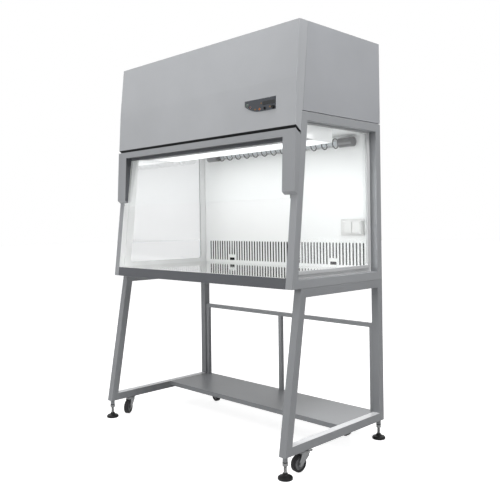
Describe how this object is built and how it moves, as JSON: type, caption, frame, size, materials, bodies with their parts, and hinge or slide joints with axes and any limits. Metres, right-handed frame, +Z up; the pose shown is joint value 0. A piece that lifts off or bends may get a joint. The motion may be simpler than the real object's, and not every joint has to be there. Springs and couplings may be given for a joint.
{
  "type": "laminar flow hood",
  "caption": "Free-standing laminar flow hood: glazed work chamber with lifting front sash, fan and filter head, and a stand with levelling feet and casters",
  "frame": {"origin": "on the floor at the middle of the footprint of the four levelling feet", "axes": "+Z up, +X to the user's right as they face the hood, +Y towards the back"},
  "size_m": [1.372, 0.784, 2],
  "materials": {
    "frame_paint": "satin",
    "panel_paint": "satin",
    "white_paint": "satin",
    "sash_paint": "satin",
    "glass": "polished",
    "polished_steel": "polished",
    "bright_steel": "satin",
    "chrome": "polished",
    "aluminium": "satin",
    "black_plastic": "matte",
    "wheel_grey": "matte",
    "seal_rubber": "matte",
    "white_plastic": "gloss",
    "panel_grey": "matte",
    "display_dark": "gloss",
    "button_green": "gloss",
    "button_red": "gloss",
    "button_orange": "gloss",
    "lens_amber": "gloss",
    "filter_media": "matte",
    "motor_grey": "satin"
  },
  "bodies": {
    "frame": {"back_wall": "white_paint", "base_frame": "frame_paint", "caster_mount_front_left": "bright_steel", "caster_mount_front_right": "bright_steel", "caster_mount_rear_left": "bright_steel", "caster_mount_rear_right": "bright_steel", "ceiling_diffuser": "white_paint", "chamber_side_left": "frame_paint", "chamber_side_right": "frame_paint", "control_panel": "panel_grey", "display_window": "display_dark", "fan_housing": "aluminium", "fan_motor": "motor_grey", "fascia": "panel_paint", "foot_nuts": "bright_steel", "germicidal_tube": "glass", "head_cabinet": "panel_paint", "hepa_filter": "filter_media", "indicator_lenses": "lens_amber", "intake_filter": "filter_media", "lamp_guard": "chrome", "lamp_holders": "chrome", "mains_inlet": "black_plastic", "rear_panel": "panel_paint", "sash_pins": "bright_steel", "shelf": "panel_paint", "side_glass_left": "glass", "side_glass_right": "glass", "side_seals": "seal_rubber", "socket_body": "white_plastic", "stand_rear_frame": "frame_paint", "stand_side_left": "frame_paint", "stand_side_right": "frame_paint", "upper_beam": "frame_paint", "work_light": "white_plastic", "worktop": "polished_steel"},
    "sash": {"sash_frame": "sash_paint", "sash_glass": "glass"},
    "foot_front_left_body": {"foot_front_left": "black_plastic"},
    "foot_front_right_body": {"foot_front_right": "black_plastic"},
    "foot_rear_left_body": {"foot_rear_left": "black_plastic"},
    "foot_rear_right_body": {"foot_rear_right": "black_plastic"},
    "caster_fork_front_left_body": {"caster_fork_front_left": "bright_steel"},
    "caster_wheel_front_left_body": {"caster_wheel_front_left": "wheel_grey"},
    "brake_pedal_front_left_body": {"brake_pedal_front_left": "bright_steel"},
    "caster_fork_front_right_body": {"caster_fork_front_right": "bright_steel"},
    "caster_wheel_front_right_body": {"caster_wheel_front_right": "wheel_grey"},
    "brake_pedal_front_right_body": {"brake_pedal_front_right": "bright_steel"},
    "caster_fork_rear_left_body": {"caster_fork_rear_left": "bright_steel"},
    "caster_wheel_rear_left_body": {"caster_wheel_rear_left": "wheel_grey"},
    "caster_fork_rear_right_body": {"caster_fork_rear_right": "bright_steel"},
    "caster_wheel_rear_right_body": {"caster_wheel_rear_right": "wheel_grey"},
    "fan_rotor": {"fan_impeller": "aluminium"},
    "start_button_body": {"start_button": "button_green"},
    "stop_button_body": {"stop_button": "button_red"},
    "lamp_button_body": {"lamp_button": "button_orange"},
    "key_switch_body": {"key_switch": "black_plastic"},
    "speed_knob_body": {"speed_knob": "black_plastic"},
    "socket_lid_left_body": {"socket_lid_left": "white_plastic"},
    "socket_lid_right_body": {"socket_lid_right": "white_plastic"}
  },
  "joints": [
    {"name": "sash_hinge", "type": "hinge", "parent": "frame", "child": "sash", "pos_m": [0, -0.278, 1.499], "axis": [-1, 0, 0], "range_deg": [0, 75]},
    {"name": "foot_front_left_screw", "type": "slide", "parent": "frame", "child": "foot_front_left_body", "axis": [0, 0, 1], "range_m": [-0.01, 0.015]},
    {"name": "foot_front_right_screw", "type": "slide", "parent": "frame", "child": "foot_front_right_body", "axis": [0, 0, 1], "range_m": [-0.01, 0.015]},
    {"name": "foot_rear_left_screw", "type": "slide", "parent": "frame", "child": "foot_rear_left_body", "axis": [0, 0, 1], "range_m": [-0.01, 0.015]},
    {"name": "foot_rear_right_screw", "type": "slide", "parent": "frame", "child": "foot_rear_right_body", "axis": [0, 0, 1], "range_m": [-0.01, 0.015]},
    {"name": "caster_swivel_front_left", "type": "hinge", "parent": "frame", "child": "caster_fork_front_left_body", "pos_m": [-0.653, -0.236, 0.087], "axis": [0, 0, 1], "continuous": true},
    {"name": "caster_axle_front_left", "type": "hinge", "parent": "caster_fork_front_left_body", "child": "caster_wheel_front_left_body", "pos_m": [-0.638, -0.26198, 0.0415], "axis": [-0.866, -0.5, 0], "continuous": true},
    {"name": "brake_pedal_front_left_hinge", "type": "hinge", "parent": "caster_fork_front_left_body", "child": "brake_pedal_front_left_body", "pos_m": [-0.6605, -0.22301, 0.076], "axis": [-0.866, -0.5, 0], "range_deg": [0, 12]},
    {"name": "caster_swivel_front_right", "type": "hinge", "parent": "frame", "child": "caster_fork_front_right_body", "pos_m": [0.653, -0.236, 0.087], "axis": [0, 0, 1], "continuous": true},
    {"name": "caster_axle_front_right", "type": "hinge", "parent": "caster_fork_front_right_body", "child": "caster_wheel_front_right_body", "pos_m": [0.64882, -0.26571, 0.0415], "axis": [-0.9903, 0.1392, 0], "continuous": true},
    {"name": "brake_pedal_front_right_hinge", "type": "hinge", "parent": "caster_fork_front_right_body", "child": "brake_pedal_front_right_body", "pos_m": [0.65509, -0.22115, 0.076], "axis": [-0.9903, 0.1392, 0], "range_deg": [0, 12]},
    {"name": "caster_swivel_rear_left", "type": "hinge", "parent": "frame", "child": "caster_fork_rear_left_body", "pos_m": [-0.48, 0.269, 0.087], "axis": [0, 0, 1], "continuous": true},
    {"name": "caster_axle_rear_left", "type": "hinge", "parent": "caster_fork_rear_left_body", "child": "caster_wheel_rear_left_body", "pos_m": [-0.45102, 0.26123, 0.0415], "axis": [-0.2588, -0.9659, 0], "continuous": true},
    {"name": "caster_swivel_rear_right", "type": "hinge", "parent": "frame", "child": "caster_fork_rear_right_body", "pos_m": [0.48, 0.269, 0.087], "axis": [0, 0, 1], "continuous": true},
    {"name": "caster_axle_rear_right", "type": "hinge", "parent": "caster_fork_rear_right_body", "child": "caster_wheel_rear_right_body", "pos_m": [0.51, 0.269, 0.0415], "axis": [0, -1, 0], "continuous": true},
    {"name": "fan_spin", "type": "hinge", "parent": "frame", "child": "fan_rotor", "pos_m": [0, 0.0725, 1.75], "axis": [0, 0, 1], "continuous": true},
    {"name": "start_button_press", "type": "slide", "parent": "frame", "child": "start_button_body", "axis": [0, 0.9986, -0.0524], "range_m": [0, 0.0015], "stiffness_N_per_m": 600, "springref_m": -0.001},
    {"name": "stop_button_press", "type": "slide", "parent": "frame", "child": "stop_button_body", "axis": [0, 0.9986, -0.0524], "range_m": [0, 0.0015], "stiffness_N_per_m": 600, "springref_m": -0.001},
    {"name": "lamp_button_press", "type": "slide", "parent": "frame", "child": "lamp_button_body", "axis": [0, 0.9986, -0.0524], "range_m": [0, 0.0015], "stiffness_N_per_m": 600, "springref_m": -0.001},
    {"name": "key_switch_turn", "type": "hinge", "parent": "frame", "child": "key_switch_body", "pos_m": [0.4865, -0.27888, 1.62163], "axis": [0, -0.9986, 0.0524], "range_deg": [-90, 0]},
    {"name": "speed_knob_turn", "type": "hinge", "parent": "frame", "child": "speed_knob_body", "pos_m": [0.5404, -0.27891, 1.62103], "axis": [0, -0.9986, 0.0524], "range_deg": [-135, 135]},
    {"name": "socket_lid_left_hinge", "type": "hinge", "parent": "frame", "child": "socket_lid_left_body", "pos_m": [0.51025, 0.3137, 1.1], "axis": [-1, 0, 0], "range_deg": [0, 100]},
    {"name": "socket_lid_right_hinge", "type": "hinge", "parent": "frame", "child": "socket_lid_right_body", "pos_m": [0.55975, 0.3137, 1.1], "axis": [-1, 0, 0], "range_deg": [0, 100]}
  ]
}
